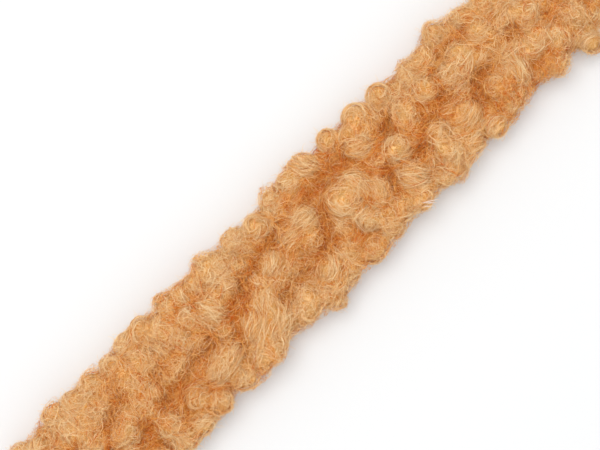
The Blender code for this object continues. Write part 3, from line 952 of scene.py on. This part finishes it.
def make_locks(surface, curls, tones):
    """The locks of fibre that cover the pile, in a few pieces along the trim."""
    draw = np.random.default_rng(LOCK_SEED)
    starts = sample_surface(surface, LOCKS, draw)
    starts = starts[np.argsort(starts[:, 0])]
    calm = curls.calm_at(starts)
    step = draw.uniform(STEP_SHORTEST, STEP_LONGEST, (LOCKS, 1)) + CALM_STEP * calm
    reach = draw.uniform(REACH_LEAST, REACH_MOST, (LOCKS, 1))
    points, normals, seams = trace(starts, curls, draw, LOCK_STEPS, step, reach, calm)
    # painted shade deep in the pile, in the seams and in the partings, with a random spread for each
    # lock
    pale = shaded_paleness(points, seams, curls) + draw.normal(0.0, LOCK_TONE_SPREAD, (LOCKS, 1))
    paths, sides, widths, outer, contrast = lock_fibres(smoothed(points, 1), normals, calm, draw)
    # painted shade within each lock: paler on its outside, darker on its inside
    pale = np.repeat(pale, FIBRES_IN_LOCK, axis=0) + OUTER_SHADE * outer
    pale = pale + contrast * draw.normal(size=outer.shape)
    slots = tone_slots(pale)
    made = []
    share = LOCKS * FIBRES_IN_LOCK // LOCK_PIECES
    for index in range(LOCK_PIECES):
        rows = slice(index * share, (index + 1) * share)
        corners, faces = ribbons(paths[rows], sides[rows], widths[rows])
        name = f"pile_locks_{index + 1}"
        made.append(mesh_piece(name, corners, faces, tones, slots[rows, :-1].ravel()))
    return made


def make_strays(surface, curls, tones):
    """Long pale fibres that cross from curl to curl, most of them over partings and seams."""
    draw = np.random.default_rng(STRAY_SEED)
    starts = sample_surface(surface, STRAY_CHOICE * STRAYS, draw)
    seam = pile_field(starts, curls)[2]
    wanted = STRAY_PULL * seam + STRAY_PULL * parting_dip(starts) / PARTING_DEPTH
    wanted = wanted + draw.random(len(starts))
    starts = starts[np.argsort(-wanted)[:STRAYS]]
    step = STRAY_STEP * draw.uniform(*STRAY_STEP_RANGE, (STRAYS, 1))
    calm = STRAY_CALM * curls.calm_at(starts)
    points, normals, seams = trace(starts, curls, draw, STRAY_STEPS, step, STRAY_REACH, calm)
    run = np.linspace(0.0, 1.0, STRAY_STEPS)
    beside = beside_paths(points, normals)
    shape = (STRAYS, 1)
    wave = draw.uniform(*STRAY_WAVES, shape)
    phase = draw.uniform(0, 2 * math.pi, shape)
    swing = draw.uniform(*STRAY_SWING, shape) * np.sin(2 * math.pi * wave * run + phase)
    lift = STRAY_LIFT * draw.random(shape) * np.sin(math.pi * run) ** STRAY_LIFT_POWER
    lift = lift + STRAY_RIPPLE * np.cos(STRAY_RIPPLE_RATE * run + phase)
    paths = smoothed(points, STRAY_SMOOTHING)
    paths = raised(paths + swing[..., None] * beside + lift[..., None] * normals)
    lean = draw.uniform(-STRAY_LEAN, STRAY_LEAN, shape) + draw.normal(0, STRAY_LEAN_DRIFT, shape) * run
    sides = np.cos(lean)[..., None] * beside + np.sin(lean)[..., None] * normals
    taper = tapering(np.clip(run, *STRAY_TAPER_ENDS), STRAY_TIP_WIDTH)
    stout = draw.random(shape) ** STRAY_STOUT_POWER
    widths = STRAY_WIDTH * (STRAY_THIN + STRAY_STOUTER * stout) * taper
    corners, faces = ribbons(paths, sides, widths)
    # a share of the same painted shade as the locks', over a paler base and with a random spread
    pale = STRAY_TONE + STRAY_TONE_SHARE * shaded_paleness(points, seams, curls)
    pale = pale + draw.normal(0.0, STRAY_TONE_SPREAD, shape)
    slots = tone_slots(pale)[:, :-1].ravel()
    return mesh_piece("pile_strays", corners, faces, tones, slots)


def make_flyaways(surface, curls, tones):
    """Fine single fibres that loop out of the pile, seen best against the floor."""
    draw = np.random.default_rng(FLYAWAY_SEED)
    starts = sample_surface(surface, FLYAWAY_CHOICE * FLYAWAYS, draw)
    on_rim = np.abs(starts[:, 1]) > RIM_FROM
    rims = int(RIM_SHARE * FLYAWAYS)
    starts = np.concatenate([starts[on_rim][:rims], starts[~on_rim][:FLYAWAYS - rims]])
    normal = pile_field(starts, curls)[1]
    heading = unit(FLYAWAY_OUTWARD * normal + FLYAWAY_SIDEWAYS * draw.normal(size=starts.shape))
    bend = FLYAWAY_BEND * draw.normal(size=starts.shape)
    length = draw.uniform(*FLYAWAY_LENGTHS, (len(starts), 1))
    position = starts - FLYAWAY_ROOT * normal
    paths = []
    for _ in range(FLYAWAY_STEPS):
        paths.append(position)
        bend = bend + FLYAWAY_BEND_CHANGE * draw.normal(size=starts.shape)
        heading = unit(heading + FLYAWAY_BEND_RATE * bend - FLYAWAY_FALL * normal)
        position = position + heading * FLYAWAY_STEP * length
    paths = raised(np.stack(paths, axis=1))
    sides = beside_paths(paths, unit(draw.normal(size=(len(starts), 1, 3))))
    taper = np.linspace(1.0, FLYAWAY_TIP_WIDTH, FLYAWAY_STEPS)
    widths = FLYAWAY_WIDTH * taper * np.ones((len(starts), 1))
    corners, faces = ribbons(paths, sides, widths)
    # the palest tones, painted glint among them
    slots = np.repeat(draw.integers(TONES - FLYAWAY_TONES, TONES, len(starts)), FLYAWAY_STEPS - 1)
    return mesh_piece("pile_flyaways", corners, faces, tones, slots)


def make_thread_ends():
    """The few pale thread ends at one rim, as thin round rods that bow upwards."""
    run = np.linspace(0.0, 1.0, THREAD_STEPS)[:, None]
    angle = 2 * math.pi * np.arange(THREAD_SIDES)[None, :, None] / THREAD_SIDES
    radius = THREAD_RADIUS * np.sqrt(np.sin(math.pi * np.clip(run, 0.01, 0.99)))[..., None]
    rings = []
    faces = []
    for number, (root, tip) in enumerate(THREAD_ENDS):
        path = np.array(root) + run * (np.array(tip) - np.array(root))
        path[:, 2:] += THREAD_BOW * np.sin(math.pi * run)
        tangent = unit(np.gradient(path, axis=0))
        beside = unit(np.cross(tangent, [0.0, 0.0, 1.0]))[:, None]
        above = np.cross(beside, tangent[:, None])
        rings.append(path[:, None] + radius * (np.cos(angle) * beside + np.sin(angle) * above))
        faces.append(ring_faces(THREAD_STEPS, THREAD_SIDES) + number * THREAD_STEPS * THREAD_SIDES)
    points = np.concatenate(rings).reshape(-1, 3)
    surface, _ = principled("thread", THREAD, FIBRE_ROUGHNESS)
    return mesh_piece("pile_thread_ends", points, np.concatenate(faces), [surface])


def knit_material():
    """Knitted ground cloth: wales along the strip and courses across it, in colour and bump, with
    painted shade in the gaps between the loops.
    """
    made, shader = principled("knitted_backing", KNIT, CLOTH_ROUGHNESS, sheen=CLOTH_SHEEN)
    tree = made.node_tree
    place = tree.nodes.new("ShaderNodeTexCoord")
    waves = []
    for direction, scale, distortion in KNIT_WAVES:
        wave = add_node(
            tree, "ShaderNodeTexWave", Scale=scale, Distortion=distortion, Detail=1.0
        )
        wave.bands_direction = direction
        tree.links.new(place.outputs["Object"], wave.inputs["Vector"])
        waves.append(wave.outputs["Fac"])
    loops = add_math(tree, "MULTIPLY", *waves)
    colour_by(tree, shader, loops, (KNIT_SHADED_GAPS, KNIT), (0.0, KNIT_GAP_SHARE), KNIT_RELIEF)
    return made


def make_backing():
    """The knitted strip, a thin closed sheet whose cut edges wander a little."""
    stations = np.linspace(-BACKING_LENGTH / 2, BACKING_LENGTH / 2, BACKING_STATIONS)
    shares = np.linspace(-1.0, 1.0, BACKING_PLACES)
    rings = []
    for along in stations:
        left = -BACKING_WIDTH / 2 - BACKING_WANDER * math.sin(along * LEFT_WANDER_RATE)
        turn = along * RIGHT_WANDER_RATE + RIGHT_WANDER_START
        right = BACKING_WIDTH / 2 + BACKING_WANDER * math.sin(turn)
        across = left + (right - left) * (shares + 1.0) / 2
        level = np.zeros(BACKING_PLACES)
        below = np.stack([level + along, across, level], axis=1)
        above = below[::-1] + [0.0, 0.0, BACKING_THICKNESS]
        rings.append(np.concatenate([below, above]))
    points = np.concatenate(rings)
    size = len(rings[0])
    faces = list(ring_faces(len(rings), size))
    for first in (0, (len(rings) - 1) * size):
        for k in range(BACKING_PLACES - 1):
            faces.append((first + k, first + k + 1, first + size - 2 - k, first + size - 1 - k))
    return mesh_piece("knitted_backing", points, np.array(faces), [knit_material()])


def make_floor():
    """A plain white floor."""
    bpy.ops.mesh.primitive_plane_add(size=FLOOR_SIZE, location=(0.0, 0.0, 0.0))
    floor = bpy.context.object
    floor.name = "floor"
    surface, _ = principled("floor", FLOOR, 1.0)
    floor.data.materials.append(surface)


def make_light():
    """Soft light from all round, with a large lamp overhead a little to the picture's upper left."""
    world = bpy.data.worlds.new("studio")
    world.use_nodes = True
    background = world.node_tree.nodes["Background"]
    background.inputs["Color"].default_value = (1.0, 1.0, 1.0, 1.0)
    background.inputs["Strength"].default_value = SKY_STRENGTH
    bpy.context.scene.world = world
    data = bpy.data.lights.new("softbox", "AREA")
    data.shape = "DISK"
    data.size = LAMP_SIZE
    data.energy = LAMP_POWER
    lamp = bpy.data.objects.new("softbox", data)
    lamp.location = LAMP_PLACE
    lamp.rotation_mode = "QUATERNION"
    lamp.rotation_quaternion = Vector(lamp.location).to_track_quat("Z", "Y")
    bpy.context.scene.collection.objects.link(lamp)


def make_camera():
    """The photograph's camera, straight above the trim."""
    data = bpy.data.cameras.new("camera")
    data.lens = LENS
    data.sensor_width = SENSOR
    distance = FRAME_WIDTH * LENS / SENSOR
    camera = bpy.data.objects.new("camera", data)
    camera.location = [place * MM for place in (*FRAME_CENTRE, FRAME_HEIGHT + distance)]
    camera.rotation_euler = (0.0, 0.0, math.radians(FRAME_TURN))
    bpy.context.scene.collection.objects.link(camera)
    bpy.context.scene.camera = camera


bpy.context.scene.view_settings.view_transform = "Standard"
make_camera()
make_floor()
make_light()

main_curls = Curls(fill_curls(placed_curls() + low_curls()))
all_curls = tufted(main_curls, pile_surface(main_curls)[0])
pile, pile_normals = pile_surface(all_curls)
ground = make_ground(pile, pile_normals, all_curls)
tones = fibre_materials()
locks = make_locks(pile, all_curls, tones)
strays = make_strays(pile, all_curls, tones)
flyaways = make_flyaways(pile, all_curls, tones)
threads = make_thread_ends()
backing = make_backing()

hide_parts("pile")
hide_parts("backing")
